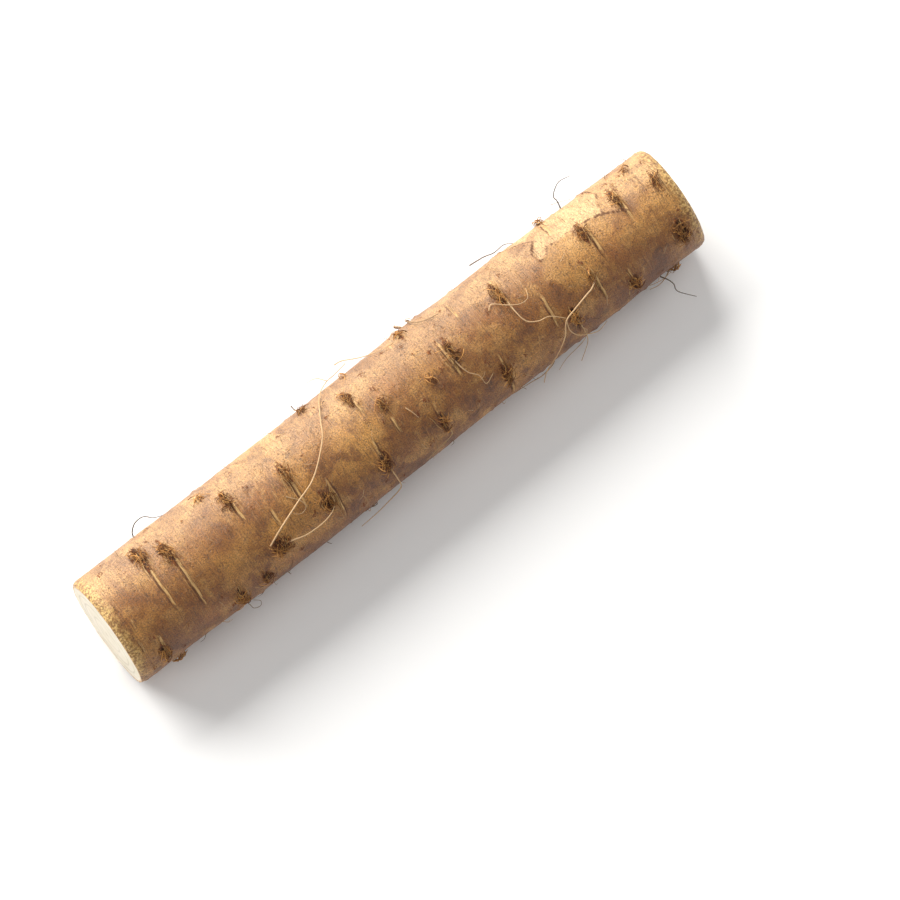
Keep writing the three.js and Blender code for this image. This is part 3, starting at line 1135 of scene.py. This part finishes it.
def make_bristles(material):
    scars = [s for s in SCARS if s[4] > 0.3]
    along, around, reach_along, reach_around, dark = (np.array(c, float) for c in zip(*scars))
    height = np.array([float(skin_height(np.array(a), np.array(b))) for a, b in zip(along, around)])
    points = place(along, around, height + 0.1)
    angle = np.radians(around)
    zero = np.zeros(len(angle))
    facing = np.stack([zero, -np.sin(angle), np.cos(angle)], -1)
    ring = np.stack([zero, -np.cos(angle), -np.sin(angle)], -1)
    mesh = bpy.data.meshes.new("bristle_guide")
    mesh.from_pydata([tuple(p) for p in points], [], [])
    set_marks(mesh, reach_along=reach_along * MM, reach_around=reach_around * MM)
    for name, values in (("facing", facing), ("ring", ring)):
        layer = mesh.attributes.new(name, "FLOAT_VECTOR", "POINT")
        layer.data.foreach_set("vector", values.astype(np.float32).ravel())
    count = mesh.attributes.new("bristles", "INT", "POINT")
    count.data.foreach_set("value", (dark * reach_along * reach_around * 6.5).astype(np.int32) + 8)
    guide = bpy.data.objects.new("bristle_guide", mesh)
    bpy.context.scene.collection.objects.link(guide)
    inputs = [
        ("Bristle length", "NodeSocketFloat", 3.0 * MM),
        ("Bristle thickness", "NodeSocketFloat", 0.1 * MM),
        ("Curve of skin", "NodeSocketFloat", 0.5 / (THICK_RADIUS * MM)),
        ("Seed", "NodeSocketInt", 7),
        ("Material", "NodeSocketMaterial", material),
    ]
    made = grown_mesh("scar_bristles", guide, bristle_tree(inputs), inputs)
    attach(made, BODY)
    return made


# ---------------------------------------------------------------- camera, light and floor

AZIMUTH = -39.0  # degrees the camera is turned about the root
ELEVATION = 74.0
LENS = 300.0
FRAME_WIDTH = 0.2231  # metres of the scene across the picture, at the root
ROOT_LEFT = 0.0143  # how far left of the picture's middle the root's centre sits
ROOT_ABOVE = 0.00935


def camera_axes():
    azimuth, elevation = math.radians(AZIMUTH), math.radians(ELEVATION)
    flat = math.cos(elevation)
    back = Vector((math.sin(azimuth) * flat, -math.cos(azimuth) * flat, math.sin(elevation)))
    right = Vector((math.cos(azimuth), math.sin(azimuth), 0))
    return right, back.cross(right), back


def make_camera():
    right, up, back = camera_axes()
    centre = (cad_low + cad_high) / 2
    aim = centre + right * ROOT_LEFT - up * ROOT_ABOVE
    data = bpy.data.cameras.new("camera")
    data.lens = LENS
    data.sensor_width = 36
    distance = FRAME_WIDTH * LENS / data.sensor_width
    camera = bpy.data.objects.new("camera", data)
    turned = Matrix((right, up, back)).transposed().to_4x4()
    camera.matrix_world = Matrix.Translation(aim + back * distance) @ turned
    data.clip_start, data.clip_end = 0.05, 20
    bpy.context.scene.collection.objects.link(camera)
    bpy.context.scene.camera = camera


def make_softbox(name, direction, distance, size, radiance, tone):
    """An area light that faces the root; direction is in the camera's right, up and back."""
    right, up, back = camera_axes()
    toward = (right * direction[0] + up * direction[1] + back * direction[2]).normalized()
    data = bpy.data.lights.new(name, "AREA")
    data.shape = "RECTANGLE"
    data.size, data.size_y = size
    data.energy = radiance * math.pi * size[0] * size[1]
    data.color = tone
    light = bpy.data.objects.new(name, data)
    turned = toward.to_track_quat("Z", "Y").to_matrix().to_4x4()
    light.matrix_world = Matrix.Translation(toward * distance) @ turned
    light.visible_camera = False
    bpy.context.scene.collection.objects.link(light)


def make_lights():
    make_softbox("key_softbox", (-0.6, 0.77, 0.3), 1.5, (1.7, 1.3), 8.6, (1.0, 0.985, 0.955))
    make_softbox("near_fill", (-0.65, -0.5, 0.57), 1.3, (1.0, 1.0), 2.1, (1.0, 0.99, 0.975))
    make_softbox("far_fill", (0.65, 0.5, 0.57), 1.3, (1.0, 1.0), 2.1, (1.0, 0.99, 0.975))
    world = bpy.data.worlds.new("studio")
    world.use_nodes = True
    world.node_tree.nodes["Background"].inputs["Color"].default_value = (1, 1, 1, 1)
    world.node_tree.nodes["Background"].inputs["Strength"].default_value = 0.16
    bpy.context.scene.world = world
    bpy.context.scene.view_settings.view_transform = "Standard"


def make_floor():
    size = 3.0
    level = cad_low.z - 0.02 * MM
    corners = [(-size, -size, level), (size, -size, level), (size, size, level), (-size, size, level)]
    floor = new_mesh("floor", corners, [(0, 1, 2, 3)])
    material, _, shader = new_material("pale_floor", 0.9)
    shader.inputs["Base Color"].default_value = (0.95, 0.95, 0.95, 1)
    shader.inputs["Specular IOR Level"].default_value = 0.1
    floor.data.materials.append(material)


# ---------------------------------------------------------------- the whole root

make_camera()
make_lights()
make_floor()

add_back_growth()
add_companion_ridges(random.Random(3))
add_faint_rings(random.Random(5))

plant_grain = grain_group()
skin_material = skin_finish(plant_grain)
flesh_material = flesh_finish(plant_grain)
rootlet_material = fibre_finish(plant_grain, "rootlet_fibre", "#33241a", "#d6b184", 0.55)
bristle_material = fibre_finish(plant_grain, "scar_fibre", "#4c200a", "#dfa35c", 0.7)
strand_material = fibre_finish(plant_grain, "ridge_fibre", "#5a3416", "#dcb57c", 0.6)

make_body(skin_material, flesh_material)
make_bristles(bristle_material)
make_strands("ridge_strands", ridge_strand_lines(random.Random(11)), 5, strand_material)
make_strands("scar_strands", scar_strand_lines(random.Random(17)), 5, strand_material)
make_strands("rootlets", rootlet_lines(random.Random(23)), 7, rootlet_material)
make_strands("fuzz", fuzz_lines(random.Random(31)), 4, rootlet_material)
